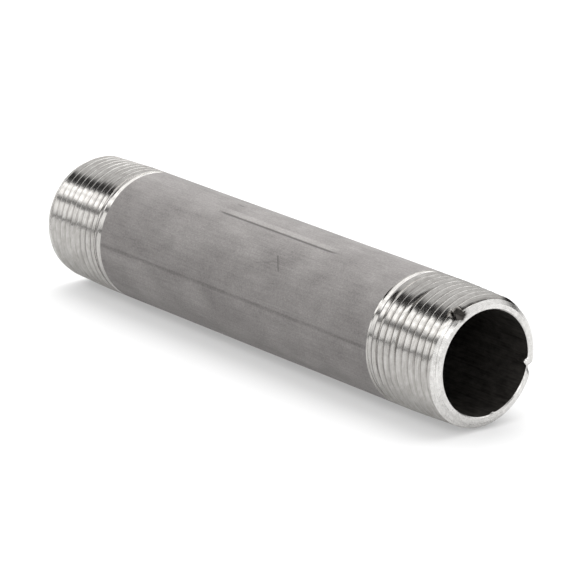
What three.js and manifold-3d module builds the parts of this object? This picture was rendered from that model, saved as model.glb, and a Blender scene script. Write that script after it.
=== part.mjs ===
// Threaded pipe nipple, 3/4-14 NPT, schedule 40, 5 in long: one piece of stainless steel pipe with a
// right-hand taper pipe thread cut on the outside of each end. Millimetres, +Z up, the pipe's axis
// along X, and the origin on that axis halfway along the pipe.
import * as THREE from "three";
import { mergeVertices } from "three/addons/utils/BufferGeometryUtils.js";
import Module from "manifold-3d";

// The pipe: the 3/4 in size in schedule 40, cut 5 in long.
const LENGTH = 127;
const PIPE_RADIUS = 26.67 / 2;
const WALL = 2.87;
const BORE_RADIUS = PIPE_RADIUS - WALL;

// The thread: 14 to the inch, 60 degrees, 1 in 16 on the diameter, measured from the end face.
const PITCH = 25.4 / 14;
const FLANK_SLOPE = Math.tan(Math.PI / 6);
const TAPER = 1 / 32;
const PITCH_RADIUS_AT_END = 24.58 / 2;
const FLAT = 0.15;
const FULL_ROOT_LENGTH = 13.86;
const THREAD_LENGTH = 20.15;

// The cut end: a bevel down to the thread's root outside, and a light deburr in the bore.
const BEVEL = 1.4;
const FACE_RADIUS = 11.6;
const DEBURR = 0.2;

// The thread starts on the end face at this many facets round from the lathe's seam.
const FACETS = 24;
const START_FACET = 10;

const THREAD_HEIGHT = (PITCH - 2 * FLAT) / (2 * FLANK_SLOPE);
const END = LENGTH / 2;
const STAINLESS = { color: 0xa8a6a3, roughness: 0.42, metalness: 0.9 };

// Radius of the thread's crests and roots at a distance from the end face.
function crestRadius(distance) {
  return PITCH_RADIUS_AT_END + THREAD_HEIGHT / 2 + distance * TAPER;
}

function rootRadius(distance) {
  return crestRadius(distance) - THREAD_HEIGHT;
}

// Distance from the end face at which the crests' cone comes up to the pipe's own surface.
const CONE_LENGTH = (PIPE_RADIUS - crestRadius(0)) / TAPER;

// Beyond the full roots the groove's floor climbs in a straight line to the pipe's surface.
function floorRadius(distance) {
  if (distance <= FULL_ROOT_LENGTH) return rootRadius(distance);
  const depth = PIPE_RADIUS - rootRadius(FULL_ROOT_LENGTH);
  const climbed = (distance - FULL_ROOT_LENGTH) / (THREAD_LENGTH - FULL_ROOT_LENGTH);
  return PIPE_RADIUS - depth * (1 - climbed);
}

// A closed geometry as a manifold-3d solid.
function solidFrom(wasm, geometry) {
  geometry.deleteAttribute("normal");
  geometry.deleteAttribute("uv");
  const merged = mergeVertices(geometry, 1e-4);
  const mesh = new wasm.Mesh({
    numProp: 3,
    vertProperties: merged.attributes.position.array,
    triVerts: new Uint32Array(merged.index.array),
  });
  return new wasm.Manifold(mesh);
}

function geometryFrom(solid) {
  const mesh = solid.getMesh();
  const geometry = new THREE.BufferGeometry();
  geometry.setAttribute("position", new THREE.BufferAttribute(mesh.vertProperties, 3));
  geometry.setIndex(new THREE.BufferAttribute(mesh.triVerts, 1));
  geometry.computeVertexNormals();
  return geometry;
}

// The plain pipe with its ends turned to the thread's cone, bevelled and deburred, its axis along Y.
function pipeBlank() {
  const outside = [
    [PIPE_RADIUS, END - CONE_LENGTH],
    [crestRadius(BEVEL), END - BEVEL],
    [FACE_RADIUS, END],
  ];
  const inside = [
    [BORE_RADIUS + DEBURR, END],
    [BORE_RADIUS, END - DEBURR],
  ];
  const otherEnd = (points) => points.map(([radius, along]) => [radius, -along]).reverse();
  const loop = [...otherEnd(outside), ...outside, ...inside, ...otherEnd(inside)];
  const profile = loop.map(([radius, along]) => new THREE.Vector2(radius, along));
  profile.push(profile[0].clone());
  return new THREE.LatheGeometry(profile, FACETS);
}

// Cross-section of the thread groove, as offsets along the axis and radii: a flat floor, flanks at
// 30 degrees that end just clear of the crests, and upright sides above the pipe.
function grooveSection(distance) {
  const clear = 0.03;
  const top = PIPE_RADIUS + 0.5;
  const floor = Math.min(floorRadius(distance), top - 2 * clear);
  const shoulder = Math.max(Math.min(crestRadius(distance), PIPE_RADIUS) + clear, floor + clear);
  const halfWidth = (radius) => FLAT / 2 + (radius - rootRadius(distance)) * FLANK_SLOPE;
  const half = [
    [halfWidth(floor), floor],
    [halfWidth(shoulder), shoulder],
    [halfWidth(shoulder), top],
  ];
  return [...half, ...half.map(([offset, radius]) => [-offset, radius]).reverse()];
}

// The groove as one closed helical body on the +Y end, running from just outside the end face to
// where its floor has climbed out of the pipe. It turns right-handed about the axis.
function threadGroove() {
  const lead = PITCH / FACETS;
  const firstStep = -Math.ceil(PITCH / 2 / lead) - 2;
  const lastStep = Math.ceil((THREAD_LENGTH + PITCH / 2) / lead);
  const positions = [];
  for (let step = firstStep; step <= lastStep; step++) {
    const distance = step * lead;
    const angle = ((START_FACET - step) * 2 * Math.PI) / FACETS;
    for (const [offset, radius] of grooveSection(distance)) {
      positions.push(radius * Math.cos(angle), END - distance - offset, -radius * Math.sin(angle));
    }
  }

  const sides = grooveSection(0).length;
  const rings = lastStep - firstStep + 1;
  const triangles = [];
  for (let ring = 0; ring < rings - 1; ring++) {
    for (let side = 0; side < sides; side++) {
      const here = ring * sides + side;
      const beside = ring * sides + ((side + 1) % sides);
      triangles.push(here, beside, here + sides, beside, beside + sides, here + sides);
    }
  }
  const lastRing = (rings - 1) * sides;
  for (let side = 1; side < sides - 1; side++) {
    triangles.push(0, side + 1, side);
    triangles.push(lastRing, lastRing + side, lastRing + side + 1);
  }

  const geometry = new THREE.BufferGeometry();
  geometry.setAttribute("position", new THREE.Float32BufferAttribute(positions, 3));
  geometry.setIndex(triangles);
  return geometry;
}

// The finished pipe: the same groove cut into both ends. The second groove is the first turned half
// round, not mirrored, so both threads are right-handed.
function threadedPipe(wasm) {
  const nearGroove = threadGroove();
  const farGroove = nearGroove.clone().rotateZ(Math.PI);
  const pipe = solidFrom(wasm, pipeBlank());
  return pipe.subtract(solidFrom(wasm, nearGroove)).subtract(solidFrom(wasm, farGroove));
}

const wasm = await Module();
wasm.setup();

const pipeNipple = new THREE.Mesh(
  geometryFrom(threadedPipe(wasm)),
  new THREE.MeshStandardMaterial(STAINLESS),
);
pipeNipple.name = "threaded_pipe";
pipeNipple.rotation.z = -Math.PI / 2;

const nipple = new THREE.Group();
nipple.add(pipeNipple);

export default nipple;
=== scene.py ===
import math
import random
from collections import namedtuple

import bpy
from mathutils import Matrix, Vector, noise


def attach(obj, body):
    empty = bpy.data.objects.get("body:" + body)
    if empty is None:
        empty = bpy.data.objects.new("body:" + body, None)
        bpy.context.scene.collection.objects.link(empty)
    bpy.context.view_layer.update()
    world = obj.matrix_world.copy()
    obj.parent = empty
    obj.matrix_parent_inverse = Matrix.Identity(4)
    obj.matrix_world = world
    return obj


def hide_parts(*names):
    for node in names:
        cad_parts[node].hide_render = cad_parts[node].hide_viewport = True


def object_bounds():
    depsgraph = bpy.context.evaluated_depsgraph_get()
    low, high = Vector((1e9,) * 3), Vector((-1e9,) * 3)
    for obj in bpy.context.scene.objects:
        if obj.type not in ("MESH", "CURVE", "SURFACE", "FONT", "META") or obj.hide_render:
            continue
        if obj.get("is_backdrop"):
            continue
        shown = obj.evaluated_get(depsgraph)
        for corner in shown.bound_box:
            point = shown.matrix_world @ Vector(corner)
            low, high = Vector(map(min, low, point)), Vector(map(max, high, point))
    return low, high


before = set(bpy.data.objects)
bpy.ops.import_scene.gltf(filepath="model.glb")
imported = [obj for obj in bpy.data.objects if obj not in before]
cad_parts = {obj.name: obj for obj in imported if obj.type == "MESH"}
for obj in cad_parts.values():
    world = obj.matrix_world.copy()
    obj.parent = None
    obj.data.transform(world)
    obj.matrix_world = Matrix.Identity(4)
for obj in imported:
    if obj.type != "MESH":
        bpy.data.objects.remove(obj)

CAD_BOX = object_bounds()
LOW, HIGH = CAD_BOX

# ---------------------------------------------------------------------------- sizes, in metres

MM = 0.001
DEGREE = math.pi / 180
TURN = 2 * math.pi

END = HIGH.x
PIPE_RADIUS = HIGH.z
BORE_RADIUS = PIPE_RADIUS - 2.87 * MM

# Taper thread: 14 to the inch, 60 degrees, 1 in 16 on the diameter, as in the CAD model.
PITCH = 25.4 / 14 * MM
FLANK_SLOPE = math.tan(30 * DEGREE)
TAPER = 1 / 32
ROOT_FLAT = 0.15 * MM
CREST_AT_END = 12.946 * MM
ROOT_AT_END = 11.634 * MM
FULL_ROOT_LENGTH = 13.86 * MM
THREAD_LENGTH = 20.15 * MM
CONE_LENGTH = (PIPE_RADIUS - CREST_AT_END) / TAPER
FIRST_GROOVE_ANGLE = 330 * DEGREE

# Cut ends.
BEVEL = 1.4 * MM
FACE_RADIUS = 11.6 * MM
DEBURR = 0.2 * MM

# Small radii on the thread's corners, as half the width that each takes up.
CREST_EASE = 0.035 * MM
ROOT_EASE = 0.03 * MM

# ---------------------------------------------------------------------------- wear and marks

# Lines along the barrel, each placed by its angle round the pipe.
SEAM_ANGLE = 177 * DEGREE
SEAM_WIDTH = 1.5 * MM
SEAM_DEPTH = 0.05 * MM
SCORE_ANGLE = 108 * DEGREE
SCORE_WIDTH = 0.8 * MM
SCORE_DEPTH = 0.1 * MM
SCORE_FROM = -15 * MM
SCORE_TO = 23 * MM

# How those lines show in the finish: the seam, the score, and a painted highlight as a lighter strip
# beside the score.
LineMark = namedtuple("LineMark", "angle half_width darkness start stop")
LINE_MARKS = (
    LineMark(SEAM_ANGLE, 0.5 * MM, 0.1, -END, END),
    LineMark(SCORE_ANGLE, 0.35 * MM, 0.3, SCORE_FROM, SCORE_TO),
    # Negative darkness: a painted highlight along the score's upper lip.
    LineMark(SCORE_ANGLE - 4 * DEGREE, 1.1 * MM, -0.1, SCORE_FROM, SCORE_TO),
)

# Knocks in the near rim, each a hollow of a depth along the axis around an angle and a radius.
Nick = namedtuple("Nick", "angle depth half_arc radius half_radial")
START_NICK = Nick(344 * DEGREE, 1.6 * MM, 1.4 * MM, 12 * MM, 1.7 * MM)
TOP_NICK = Nick(120 * DEGREE, 1.2 * MM, 1.2 * MM, 12.5 * MM, 1.2 * MM)

# Burrs that stand into the bore at the near rim.
Burr = namedtuple("Burr", "angle height half_arc")
START_BURR = Burr(START_NICK.angle + START_NICK.half_arc / FACE_RADIUS, 0.9 * MM, 1.1 * MM)
LOW_BURR = Burr(280 * DEGREE, 0.3 * MM, 0.9 * MM)
BURR_THICKNESS = 0.5 * MM
KNOCKED_LENGTH = 2.5 * MM

# Painted shade held in the two deepest nicks, dark as their shadow and the dark reflection in them.
Soot = namedtuple("Soot", "angle radius size")
SOOT_DEPTH = 1.1 * MM
SOOT_DARKNESS = 0.8
SOOT_SPOTS = (
    Soot(TOP_NICK.angle, 12.4 * MM, 1.9 * MM),
    Soot(START_NICK.angle, 11.6 * MM, 1.5 * MM),
)

# Scratches on the barrel, each from one (x, angle) place to another: two plain ones, then a scatter.
Scratch = namedtuple("Scratch", "start stop half_width")
PLAIN_SCRATCHES = (
    Scratch((10.5 * MM, 131 * DEGREE), (13.2 * MM, 143 * DEGREE), 0.28 * MM),
    Scratch((-14 * MM, 88.6 * DEGREE), (-12 * MM, 89.4 * DEGREE), 0.35 * MM),
)
SCRATCH_SEED = 7
FAINT_SCRATCHES = 14
FAINT_REACH = 40 * MM
FAINT_RUN = 6 * MM
FAINT_TURN = 8 * DEGREE
FAINT_HALF_WIDTHS = (0.08 * MM, 0.16 * MM)
FAINT_STRENGTHS = (0.3, 0.7)
SCRATCH_DARKNESS = 0.15
SCRATCH_RELIEF = 1.5

# How much of a mark is at full strength, as a share of its half width or half length. The rest fades.
MARK_CORE = 0.4
MARK_BODY = 0.85
SCRATCH_CORE = 0.3

# Roughness of the surfaces themselves: depth, then the size of its features along and around.
Roughening = namedtuple("Roughening", "depth along around seed")
BARREL_WAVES = Roughening(0.03 * MM, 24 * MM, 9 * MM, 3)
CREST_WEAR = Roughening(0.02 * MM, 1.3 * MM, 2.5 * MM, 9)
CREST_CHIPS = Roughening(0.06 * MM, 2.5 * MM, 1.7 * MM, 21)
FACE_SAWING = Roughening(0.06 * MM, 1 * MM, 1.5 * MM, 5)
CREST_UNEVENNESS = 1.6
CHIP_THRESHOLD = 0.4
CREST_BAND = 0.15 * MM
SAWN_HALF_WIDTH = 0.6 * MM
FADE_LENGTH = 4 * MM

# ---------------------------------------------------------------------------- mesh fineness

COLUMNS = 220
FINE_STEP = 0.45 * DEGREE
FINE_SIDE = 4
BARREL_ROWS = 44
BORE_ROWS = 36
THREADED_REACH = THREAD_LENGTH + 2 * MM
SHARP_ANGLE = 24 * DEGREE

# Where the finishes meet: a face counts as cut if it lies at least this far under the pipe's surface.
CUT_SKIN = 0.004 * MM

BARREL, THREAD, END_FACE, BORE = range(4)

# ---------------------------------------------------------------------------- colours

# Each stop is a place on the finish's own scale of tone, and the metal's colour there.
# Near-black at the bottom of the tone scale: the painted shade in the nicks, and the grime and painted
# shade in the thread's roots.
SOOT_COLOUR = (0.03, 0.028, 0.026)
BARREL_COLOURS = (
    (0.3, (0.158, 0.149, 0.146)),
    (0.5, (0.235, 0.224, 0.219)),
    (0.7, (0.316, 0.305, 0.295)),
)
THREAD_COLOURS = (
    # The lowest stops colour the roots' grime and painted shade, and the painted shade in the nicks.
    (0.0, SOOT_COLOUR),
    (0.05, (0.13, 0.12, 0.111)),
    (0.35, (0.33, 0.318, 0.303)),
    (0.6, (0.47, 0.46, 0.443)),
)
FACE_COLOURS = (
    (0.1, SOOT_COLOUR),
    (0.35, (0.47, 0.46, 0.445)),
    (0.6, (0.7, 0.69, 0.675)),
)
# Painted shade: the inside is the same steel as the outside, coloured near black for the shade within the
# pipe.
BORE_COLOURS = (
    (0.35, (0.022, 0.02, 0.018)),
    (0.65, (0.13, 0.12, 0.11)),
)

# ---------------------------------------------------------------------------- studio

FLOOR_SIZE = 8
FLOOR_COLOUR = (0.56, 0.56, 0.56, 1)
FLOOR_GLOW = 0.3
WHITE = (1, 1, 1, 1)

# The studio's light by direction, as (place, level) stops along an axis. The first axis points up
# and leans towards +Y. From low to high it has soft light, a thin dark gap, a bright wall with a
# dimmer line through it, the wide dark gap that draws the dark band along the threads, and soft
# light again. The second axis points up, and darkens all below a line just over the horizon.
SKY_AXIS = (0.06, 0.5, 1)
SKY_BANDS = (
    (-0.6, 0.2), (-0.3, 0.35), (-0.1, 0.62), (0.07, 0.68), (0.1, 0.06), (0.16, 0.06), (0.22, 0.35),
    (0.29, 1), (0.36, 1), (0.4, 0.45), (0.45, 1), (0.52, 1), (0.57, 0.01), (0.75, 0.01), (0.82, 0.34),
    (1, 0.4),
)
UP = (0, 0, 1)
SKIRTING = ((0.0, 0.1), (0.03, 0.1), (0.06, 1))
SKY_STRENGTH = 2.8

# A wide softbox above and behind the pipe, with its diameter in metres and its power in watts.
KEY_PLACE = (-0.55, 0.6, 1.4)
KEY_SIZE = 2.6
KEY_POWER = 34

# The camera looks at the pipe's centre; its lens and sensor are in millimetres.
VIEW_AZIMUTH = 52.4 * DEGREE
VIEW_ELEVATION = 17.1 * DEGREE
VIEW_DISTANCE = 0.9025
LENS = 283.8
SENSOR = 36
SHIFT_X = 0.0132
SHIFT_Y = -0.0052
CLIP_START = 0.01


# ---------------------------------------------------------------------------- outlines


def crest_radius(distance):
    """Radius of the crests' cone at a distance from the end face."""
    return CREST_AT_END + distance * TAPER


def root_radius(distance):
    """Radius that the root would have with no run-out."""
    return ROOT_AT_END + distance * TAPER


def floor_radius(distance):
    """Radius of the groove's floor, which climbs to the pipe's surface beyond the full roots."""
    if distance <= FULL_ROOT_LENGTH:
        return root_radius(distance)
    depth = PIPE_RADIUS - root_radius(FULL_ROOT_LENGTH)
    climbed = (distance - FULL_ROOT_LENGTH) / (THREAD_LENGTH - FULL_ROOT_LENGTH)
    return PIPE_RADIUS - depth * (1 - climbed)


def blank_outline(length):
    """The unthreaded outside of one end: bevel, cone and plain pipe."""
    return [
        (0, FACE_RADIUS),
        (BEVEL, crest_radius(BEVEL)),
        (CONE_LENGTH, PIPE_RADIUS),
        (length, PIPE_RADIUS),
    ]


def groove_outline(first_groove):
    """The sharp thread that the groove's flanks would leave, as (distance, radius) points."""
    points = []
    lift = ROOT_EASE / FLANK_SLOPE
    turn = -1
    while first_groove + turn * PITCH < THREAD_LENGTH + PITCH:
        centre = first_groove + turn * PITCH
        floor = floor_radius(centre)
        half = ROOT_FLAT / 2 + (floor - root_radius(centre)) * FLANK_SLOPE
        peak = root_radius(centre) + (PITCH / 2 - ROOT_FLAT / 2) / FLANK_SLOPE
        points.append((centre - half - ROOT_EASE, floor + lift))
        points.append((centre - half + ROOT_EASE, floor))
        points.append((centre + half - ROOT_EASE, floor))
        points.append((centre + half + ROOT_EASE, floor + lift))
        points.append((centre + PITCH / 2, peak + PITCH / 2 * TAPER))
        turn += 1
    return points


def radius_at(outline, distance):
    """Radius of a piecewise straight outline, flat beyond its ends."""
    if distance <= outline[0][0]:
        return outline[0][1]
    for (start, low), (stop, high) in zip(outline, outline[1:]):
        if distance <= stop:
            return low + (high - low) * (distance - start) / (stop - start)
    return outline[-1][1]


def threaded_outline(first_groove, length):
    """Outside of one end in one plane through the axis, from the end face inwards."""
    blank = blank_outline(length)
    groove = groove_outline(first_groove)
    stops = sorted({d for d, _ in blank + groove if 0 <= d <= length})
    heights = [(radius_at(blank, d), radius_at(groove, d)) for d in stops]
    points = []
    for i, distance in enumerate(stops):
        points.append((distance, min(heights[i])))
        if i + 1 == len(stops):
            break
        gap = heights[i][1] - heights[i][0]
        next_gap = heights[i + 1][1] - heights[i + 1][0]
        if gap * next_gap >= 0:
            continue
        width = stops[i + 1] - distance
        crossing = distance + width * gap / (gap - next_gap)
        ease = min(CREST_EASE, (crossing - distance) / 2, (stops[i + 1] - crossing) / 2)
        for place in (crossing - ease, crossing + ease):
            points.append((place, min(radius_at(blank, place), radius_at(groove, place))))
    return points


def outside_outline(angle):
    """The whole outside at an angle round the pipe, as (x, radius) from the +X face to the -X face."""
    near_first = PITCH * ((FIRST_GROOVE_ANGLE - angle) / TURN % 1)
    far_first = PITCH * ((FIRST_GROOVE_ANGLE - math.pi + angle) / TURN % 1)
    near = [(END - d, r) for d, r in threaded_outline(near_first, THREADED_REACH)]
    far = [(d - END, r) for d, r in threaded_outline(far_first, THREADED_REACH)]
    start, stop = END - THREADED_REACH, THREADED_REACH - END
    rows = [start + (stop - start) * i / BARREL_ROWS for i in range(1, BARREL_ROWS)]
    return near + [(x, PIPE_RADIUS) for x in rows] + far[::-1]


def inside_outline():
    """End faces and bore, as (x, radius) from the -X face back to the +X face."""
    straight = END - DEBURR
    rows = [-straight + 2 * straight * i / BORE_ROWS for i in range(BORE_ROWS + 1)]
    bore = [(x, BORE_RADIUS) for x in rows]
    mouth = BORE_RADIUS + DEBURR
    middle = (mouth + FACE_RADIUS) / 2
    return [(-END, middle), (-END, mouth), *bore, (END, mouth), (END, middle)]


# ---------------------------------------------------------------------------- wear


def bump(offset, half_width):
    """A smooth hill of height 1 that ends at half_width to either side."""
    if abs(offset) >= half_width:
        return 0.0
    return 0.5 + 0.5 * math.cos(math.pi * offset / half_width)


def turned(angle, middle):
    """The angle from middle, between -pi and pi."""
    return (angle - middle + math.pi) % TURN - math.pi


def grain(x, angle, kind):
    """Smooth noise on the pipe's surface, with features of a roughening's size."""
    scale = PIPE_RADIUS / kind.around
    place = (x / kind.along + kind.seed, scale * math.cos(angle), scale * math.sin(angle) + kind.seed)
    return noise.noise(place)


def worn(x, radius, angle):
    """A point of the skin after wear: drawing marks along the barrel, inside and out, and worn crests."""
    distance = END - abs(x)
    if distance > THREAD_LENGTH:
        fade = min(1, (distance - THREAD_LENGTH) / FADE_LENGTH)
        radius += fade * BARREL_WAVES.depth * grain(x, angle, BARREL_WAVES)
        radius -= fade * SEAM_DEPTH * bump(turned(angle, SEAM_ANGLE) * PIPE_RADIUS, SEAM_WIDTH / 2)
        if SCORE_FROM < x < SCORE_TO:
            radius -= SCORE_DEPTH * bump(turned(angle, SCORE_ANGLE) * PIPE_RADIUS, SCORE_WIDTH / 2)
        return x, radius
    depth = crest_radius(distance) - radius
    if BEVEL < distance < CONE_LENGTH and depth < CREST_BAND:
        radius -= CREST_WEAR.depth * (1 + CREST_UNEVENNESS * grain(x, angle, CREST_WEAR))
        radius -= CREST_CHIPS.depth * max(0, grain(x, angle, CREST_CHIPS) - CHIP_THRESHOLD)
    return x, radius


def knocked(x, radius, angle):
    """A point of the near rim after its nicks and burrs, and the saw's marks on its face."""
    if x < END - KNOCKED_LENGTH:
        return x, radius
    for nick in (START_NICK, TOP_NICK):
        arc = turned(angle, nick.angle) * FACE_RADIUS
        x -= nick.depth * bump(arc, nick.half_arc) * bump(radius - nick.radius, nick.half_radial)
    for burr in (START_BURR, LOW_BURR):
        arc = turned(angle, burr.angle) * FACE_RADIUS
        radius -= burr.height * bump(arc, burr.half_arc) * bump(radius - BORE_RADIUS, BURR_THICKNESS)
    sawn = FACE_SAWING.depth * (1 + grain(radius, angle, FACE_SAWING))
    return x - sawn * bump(radius - FACE_RADIUS, SAWN_HALF_WIDTH), radius


# ---------------------------------------------------------------------------- mesh

# A corner of the skin: its vertex, and its place along and off the axis before any wear.
Corner = namedtuple("Corner", "vertex x radius")


def finish_of(corners):
    """Which finish a face has, from its corners."""
    distances = [END - abs(corner.x) for corner in corners]
    radius = sum(corner.radius for corner in corners) / len(corners)
    if radius < BORE_RADIUS + DEBURR / 4:
        return BORE
    if max(distances) < BEVEL + ROOT_EASE:
        return END_FACE
    distance = sum(distances) / len(distances)
    if distance < CONE_LENGTH:
        return THREAD
    cut = radius < PIPE_RADIUS - CUT_SKIN and distance < THREAD_LENGTH + PITCH
    return THREAD if cut else BARREL


def column_angles():
    """Angles of the mesh's columns: even steps, with finer ones at each small mark."""
    marks = (SEAM_ANGLE, SCORE_ANGLE, START_NICK.angle, TOP_NICK.angle, LOW_BURR.angle)
    reach = FINE_STEP * FINE_SIDE
    steps = range(-FINE_SIDE, FINE_SIDE + 1)
    even = [TURN * k / COLUMNS for k in range(COLUMNS)]
    angles = [a for a in even if all(abs(turned(a, m)) > reach + FINE_STEP / 2 for m in marks)]
    return sorted(angles + [(m + FINE_STEP * i) % TURN for m in marks for i in steps])


def skin_columns():
    """The skin's vertices, and its columns as (angle, outside corners, inside corners)."""
    vertices, columns = [], []
    for angle in column_angles():
        across = Vector((0, math.cos(angle), math.sin(angle)))
        sides = []
        for outline in (outside_outline(angle), inside_outline()):
            side = []
            for x, radius in outline:
                side.append(Corner(len(vertices), x, radius))
                x, radius = knocked(*worn(x, radius, angle), angle)
                vertices.append(across * radius + Vector((x, 0, 0)))
            sides.append(side)
        columns.append((angle, *sides))
    return vertices, columns


def stitch(left, right):
    """Triangles between two lists of (corner, how far along), stepping along whichever lags behind."""
    i = j = 0
    while i < len(left) - 1 or j < len(right) - 1:
        left_lags = j == len(right) - 1
        if i < len(left) - 1 and not left_lags:
            left_lags = left[i + 1][1] <= right[j + 1][1]
        if left_lags:
            yield left[i][0], left[i + 1][0], right[j][0]
            i += 1
        else:
            yield left[i][0], right[j + 1][0], right[j][0]
            j += 1


def skin_faces(columns):
    """Faces between each column and the next, as lists of corners. The threads' follow the helix."""
    lead = PITCH / TURN
    neighbours = zip(columns, columns[1:] + columns[:1])
    for (angle, outer, inner), (next_angle, next_outer, next_inner) in neighbours:
        step = (next_angle - angle) % TURN
        left = [(corner, lead * angle - corner.x) for corner in outer]
        right = [(corner, lead * (angle + step) - corner.x) for corner in next_outer]
        yield from stitch(left, right)
        ring = [outer[-1], *inner, outer[0]]
        next_ring = [next_outer[-1], *next_inner, next_outer[0]]
        yield from zip(ring, ring[1:], next_ring[1:], next_ring)


def pipe_mesh():
    """The closed skin of the pipe, as one mesh whose columns run right round its section."""
    vertices, columns = skin_columns()
    faces = list(skin_faces(columns))
    mesh = bpy.data.meshes.new("threaded_pipe_skin")
    mesh.from_pydata(vertices, [], [[corner.vertex for corner in corners] for corners in faces])
    mesh.polygons.foreach_set("material_index", [finish_of(corners) for corners in faces])
    mesh.shade_smooth()
    mesh.set_sharp_from_angle(angle=SHARP_ANGLE)
    mesh.update()
    return mesh


# ---------------------------------------------------------------------------- materials


def ramp_stops(ramp, stops):
    """Sets a colour ramp's stops, each a place and a colour of three numbers."""
    elements = ramp.color_ramp.elements
    while len(elements) < len(stops):
        elements.new(0.5)
    for element, (place, colour) in zip(elements, stops):
        element.position = place
        element.color = (*colour, 1)


class Finish:
    """A steel material under construction, with short spellings for the nodes it uses."""

    def __init__(self, name, metallic):
        self.material = bpy.data.materials.new(name)
        self.material.use_nodes = True
        self.tree = self.material.node_tree
        self.shader = self.tree.nodes["Principled BSDF"]
        self.shader.inputs["Metallic"].default_value = metallic
        self.place = self.node("ShaderNodeTexCoord").outputs["Object"]

    def node(self, kind, inputs=(), **settings):
        made = self.tree.nodes.new(kind)
        for name, value in settings.items():
            setattr(made, name, value)
        for socket, value in zip(made.inputs, inputs):
            if isinstance(value, bpy.types.NodeSocket):
                self.tree.links.new(value, socket)
            else:
                socket.default_value = value
        return made

    def maths(self, operation, *inputs):
        return self.node("ShaderNodeMath", inputs, operation=operation).outputs[0]

    def vectors(self, operation, *inputs):
        return self.node("ShaderNodeVectorMath", inputs, operation=operation).outputs

    def weighted(self, *shares):
        """Sum of values times their weights, given as (value, weight) pairs."""
        total = self.maths("MULTIPLY", *shares[0])
        for value, weight in shares[1:]:
            total = self.maths("ADD", total, self.maths("MULTIPLY", value, weight))
        return total

    def lowered(self, value, mask, amount):
        """The value less an amount where the mask is 1."""
        return self.maths("MULTIPLY_ADD", mask, -amount, value)

    def noise(self, place, detail, rough):
        made = self.node("ShaderNodeTexNoise")
        self.tree.links.new(place, made.inputs["Vector"])
        made.inputs["Scale"].default_value = 1.0
        made.inputs["Detail"].default_value = detail
        made.inputs["Roughness"].default_value = rough
        return made.outputs["Fac"]

    def streaks(self, along, around, detail, rough):
        """Noise with features of the given lengths along the axis and across it."""
        scale = (1 / along, 1 / around, 1 / around)
        return self.noise(self.vectors("MULTIPLY", self.place, scale)[0], detail, rough)

    def spread(self, value, low, high, to_low=0.0, to_high=1.0):
        """The value carried from one range to another, held at its ends."""
        return self.node("ShaderNodeMapRange", (value, low, high, to_low, to_high)).outputs[0]

    def split_place(self):
        """The place's outputs X, Y and Z."""
        return self.node("ShaderNodeSeparateXYZ", (self.place,)).outputs

    def radius(self):
        flat = self.vectors("MULTIPLY", self.place, (0, 1, 1))[0]
        return self.vectors("LENGTH", flat)["Value"]

    def colours(self, value, stops):
        """Colours read off a ramp."""
        ramp = self.node("ShaderNodeValToRGB", (value,))
        ramp_stops(ramp, stops)
        self.tree.links.new(ramp.outputs["Color"], self.shader.inputs["Base Color"])

    def roughness(self, value):
        self.tree.links.new(value, self.shader.inputs["Roughness"])

    def relief(self, height, distance):
        made = self.node("ShaderNodeBump")
        made.inputs["Distance"].default_value = distance
        made.inputs["Strength"].default_value = 1.0
        self.tree.links.new(height, made.inputs["Height"])
        self.tree.links.new(made.outputs["Normal"], self.shader.inputs["Normal"])


def on_surface(x, angle, radius=PIPE_RADIUS):
    """The point at a place along the pipe, an angle round it and a radius."""
    return Vector((x, radius * math.cos(angle), radius * math.sin(angle)))


def line_mask(finish, mark):
    """1 on a line along the pipe at an angle round it, 0 away from it, soft at its edges and ends."""
    tangent = (0, -math.sin(mark.angle), math.cos(mark.angle))
    outward = (0, math.cos(mark.angle), math.sin(mark.angle))
    across = finish.maths("ABSOLUTE", finish.vectors("DOT_PRODUCT", finish.place, tangent)["Value"])
    out = finish.vectors("DOT_PRODUCT", finish.place, outward)["Value"]
    middle, half_length = (mark.start + mark.stop) / 2, (mark.stop - mark.start) / 2
    off_middle = finish.maths("ABSOLUTE", finish.maths("SUBTRACT", finish.split_place()["X"], middle))
    sides = finish.spread(across, mark.half_width * MARK_CORE, mark.half_width, 1.0, 0.0)
    ends = finish.spread(off_middle, half_length * MARK_BODY, half_length, 1.0, 0.0)
    near_side = finish.maths("MULTIPLY", sides, finish.maths("GREATER_THAN", out, 0.0))
    return finish.maths("MULTIPLY", near_side, ends)


def scratch_mask(finish, scratch):
    """1 along a straight scratch, 0 away from it."""
    start, stop = on_surface(*scratch.start), on_surface(*scratch.stop)
    whole = stop - start
    from_start = finish.vectors("SUBTRACT", finish.place, tuple(start))[0]
    share = finish.vectors("DOT_PRODUCT", from_start, tuple(whole / whole.length_squared))["Value"]
    nearest = finish.node("ShaderNodeVectorMath", (tuple(whole),), operation="SCALE")
    finish.tree.links.new(finish.spread(share, 0.0, 1.0), nearest.inputs["Scale"])
    away = finish.vectors("DISTANCE", from_start, nearest.outputs[0])["Value"]
    return finish.spread(away, scratch.half_width * SCRATCH_CORE, scratch.half_width, 1.0, 0.0)


def faint_scratch(chance):
    """A random fine scratch on the barrel."""
    x, angle = chance.uniform(-FAINT_REACH, FAINT_REACH), chance.uniform(0, TURN)
    run, turn = chance.uniform(-FAINT_RUN, FAINT_RUN), chance.uniform(-FAINT_TURN, FAINT_TURN)
    return Scratch((x, angle), (x + run, angle + turn), chance.uniform(*FAINT_HALF_WIDTHS))


def scratched(finish):
    """All the barrel's scratches as one mask."""
    masks = [scratch_mask(finish, scratch) for scratch in PLAIN_SCRATCHES]
    chance = random.Random(SCRATCH_SEED)
    for _ in range(FAINT_SCRATCHES):
        faint = scratch_mask(finish, faint_scratch(chance))
        masks.append(finish.maths("MULTIPLY", faint, chance.uniform(*FAINT_STRENGTHS)))
    total = masks[0]
    for mask in masks[1:]:
        total = finish.maths("MAXIMUM", total, mask)
    return total


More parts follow.
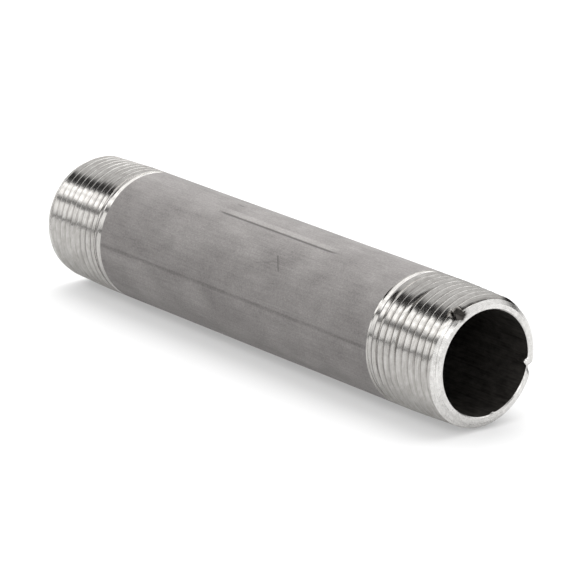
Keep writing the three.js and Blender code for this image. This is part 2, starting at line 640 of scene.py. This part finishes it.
def sooted(finish, tone):
    """The tone with painted shade in the near rim's two deepest nicks."""
    for soot in SOOT_SPOTS:
        centre = on_surface(END - SOOT_DEPTH, soot.angle, soot.radius)
        away = finish.vectors("DISTANCE", finish.place, tuple(centre))["Value"]
        mask = finish.spread(away, soot.size * MARK_CORE, soot.size, 1.0, 0.0)
        tone = finish.lowered(tone, mask, SOOT_DARKNESS)
    return tone


def pickled_barrel():
    """Drawn and acid-pickled pipe wall: matt grey, cloudy, with fine grain and lines along the axis."""
    finish = Finish("pickled_barrel", metallic=0.85)
    clouds = finish.streaks(11 * MM, 6 * MM, detail=4.0, rough=0.6)
    lines = finish.streaks(16 * MM, 0.35 * MM, detail=3.0, rough=0.6)
    sand = finish.streaks(0.35 * MM, 0.3 * MM, detail=3.0, rough=0.65)
    tone = finish.weighted((clouds, 0.4), (lines, 0.18), (sand, 0.42))
    for mark in LINE_MARKS:
        tone = finish.lowered(tone, line_mask(finish, mark), mark.darkness)
    scratches = scratched(finish)
    tone = finish.lowered(tone, scratches, SCRATCH_DARKNESS)
    finish.colours(tone, BARREL_COLOURS)
    finish.roughness(finish.spread(tone, 0.3, 0.7, to_low=0.8, to_high=0.66))
    height = finish.maths("ADD", finish.maths("MULTIPLY", lines, 0.25), sand)
    finish.relief(finish.lowered(height, scratches, SCRATCH_RELIEF), 0.03 * MM)
    return finish.material


def cut_thread():
    """Thread cut on a lathe: bright, with tool marks round the axis, and darker low in the roots with
    grime and painted shade.
    """
    finish = Finish("cut_thread", metallic=1.0)
    marks = finish.streaks(0.12 * MM, 6 * MM, detail=3.0, rough=0.6)
    tears = finish.streaks(0.5 * MM, 1.6 * MM, detail=4.0, rough=0.65)
    distance = finish.maths("SUBTRACT", END, finish.maths("ABSOLUTE", finish.split_place()["X"]))
    crest = finish.maths("MULTIPLY_ADD", distance, TAPER, CREST_AT_END)
    depth = finish.maths("SUBTRACT", crest, finish.radius())
    # Grime and painted shade: the deeper below the crests' cone, the darker, down to near black in the
    # roots.
    grime = finish.spread(depth, 0.5 * MM, 1.3 * MM, to_high=0.42)
    tone = finish.maths("SUBTRACT", finish.weighted((marks, 0.5), (tears, 0.5)), grime)
    # Painted shade in the nicks.
    tone = sooted(finish, tone)
    finish.colours(tone, THREAD_COLOURS)
    finish.roughness(finish.spread(tone, 0.1, 0.65, to_low=0.18, to_high=0.11))
    finish.relief(finish.maths("ADD", marks, finish.maths("MULTIPLY", tears, 0.6)), 0.012 * MM)
    return finish.material


def faced_end():
    """Saw-cut and chamfered end: bright rings left by the facing tool."""
    finish = Finish("faced_end", metallic=1.0)
    place = finish.split_place()
    rings = finish.maths("DIVIDE", finish.radius(), 0.09 * MM)
    across = [finish.maths("DIVIDE", place[axis], 5 * MM) for axis in ("Y", "Z")]
    ringed = finish.node("ShaderNodeCombineXYZ", (rings, *across)).outputs[0]
    marks = finish.noise(ringed, detail=3.0, rough=0.6)
    tears = finish.streaks(0.7 * MM, 0.7 * MM, detail=4.0, rough=0.65)
    # The face's tone, with painted shade in the nicks.
    tone = sooted(finish, finish.weighted((marks, 0.5), (tears, 0.5)))
    finish.colours(tone, FACE_COLOURS)
    finish.roughness(finish.spread(tone, 0.3, 0.65, to_low=0.36, to_high=0.2))
    finish.relief(tone, 0.015 * MM)
    return finish.material


def bore_wall():
    """Inside of the pipe: dull and scaly, with lines along the axis, and made darker with painted shade.
    """
    finish = Finish("bore_wall", metallic=0.8)
    scale = finish.streaks(3 * MM, 1.6 * MM, detail=4.0, rough=0.65)
    lines = finish.streaks(14 * MM, 0.4 * MM, detail=3.0, rough=0.6)
    tone = finish.weighted((scale, 0.6), (lines, 0.4))
    finish.colours(tone, BORE_COLOURS)
    finish.roughness(finish.spread(tone, 0.3, 0.7, to_low=0.62, to_high=0.42))
    finish.relief(tone, 0.03 * MM)
    return finish.material


def nipple():
    mesh = pipe_mesh()
    piece = bpy.data.objects.new("pipe_nipple", mesh)
    bpy.context.scene.collection.objects.link(piece)
    for material in (pickled_barrel(), cut_thread(), faced_end(), bore_wall()):
        mesh.materials.append(material)
    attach(piece, "root")
    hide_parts("threaded_pipe")


# ---------------------------------------------------------------------------- surroundings


def floor():
    bpy.ops.mesh.primitive_plane_add(size=FLOOR_SIZE, location=(0, 0, LOW.z))
    plane = bpy.context.object
    plane.name = "floor"
    material = bpy.data.materials.new("pale_floor")
    material.use_nodes = True
    shader = material.node_tree.nodes["Principled BSDF"]
    shader.inputs["Base Color"].default_value = FLOOR_COLOUR
    shader.inputs["Roughness"].default_value = 0.95
    shader.inputs["Specular IOR Level"].default_value = 0.1
    shader.inputs["Emission Color"].default_value = WHITE
    shader.inputs["Emission Strength"].default_value = FLOOR_GLOW
    plane.data.materials.append(material)
    plane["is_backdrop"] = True


def light_levels(tree, direction, axis, levels):
    """Grey levels of a world's light along an axis, from (place, level) stops between -1 and 1."""
    lean = tree.nodes.new("ShaderNodeVectorMath")
    lean.operation = "DOT_PRODUCT"
    lean.inputs[1].default_value = axis
    spread = tree.nodes.new("ShaderNodeMapRange")
    spread.inputs["From Min"].default_value = -1
    spread.inputs["From Max"].default_value = 1
    ramp = tree.nodes.new("ShaderNodeValToRGB")
    ramp_stops(ramp, [((place + 1) / 2, (level, level, level)) for place, level in levels])
    tree.links.new(direction, lean.inputs[0])
    tree.links.new(lean.outputs["Value"], spread.inputs["Value"])
    tree.links.new(spread.outputs["Result"], ramp.inputs["Fac"])
    return ramp.outputs["Color"]


def world_light():
    world = bpy.data.worlds.new("studio")
    bpy.context.scene.world = world
    world.use_nodes = True
    tree = world.node_tree
    background = tree.nodes["Background"]
    direction = tree.nodes.new("ShaderNodeTexCoord").outputs["Generated"]
    both = tree.nodes.new("ShaderNodeMix")
    both.data_type = "RGBA"
    both.blend_type = "MULTIPLY"
    both.inputs["Factor"].default_value = 1
    tree.links.new(light_levels(tree, direction, SKY_AXIS, SKY_BANDS), both.inputs["A"])
    tree.links.new(light_levels(tree, direction, UP, SKIRTING), both.inputs["B"])
    tree.links.new(both.outputs["Result"], background.inputs["Color"])
    background.inputs["Strength"].default_value = SKY_STRENGTH


def aimed_at_centre(name, data, place):
    """Adds a lamp or camera that looks at the pipe's centre."""
    made = bpy.data.objects.new(name, data)
    made.location = place
    made.rotation_mode = "QUATERNION"
    made.rotation_quaternion = (-Vector(place)).to_track_quat("-Z", "Y")
    bpy.context.scene.collection.objects.link(made)
    return made


def key_light():
    data = bpy.data.lights.new("key_softbox", "AREA")
    data.shape = "DISK"
    data.size = KEY_SIZE
    data.energy = KEY_POWER
    aimed_at_centre("key_softbox", data, KEY_PLACE)


def camera():
    data = bpy.data.cameras.new("camera")
    data.lens = LENS
    data.sensor_width = SENSOR
    data.shift_x = SHIFT_X
    data.shift_y = SHIFT_Y
    data.clip_start = CLIP_START
    back = Vector((
        math.sin(VIEW_AZIMUTH) * math.cos(VIEW_ELEVATION),
        -math.cos(VIEW_AZIMUTH) * math.cos(VIEW_ELEVATION),
        math.sin(VIEW_ELEVATION),
    ))
    bpy.context.scene.camera = aimed_at_centre("camera", data, back * VIEW_DISTANCE)


camera()
floor()
world_light()
key_light()
nipple()
bpy.context.scene.view_settings.view_transform = "Standard"

boxes = {"cad": CAD_BOX, "visual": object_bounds()}
{name: [list(corner) for corner in box] for name, box in boxes.items()}
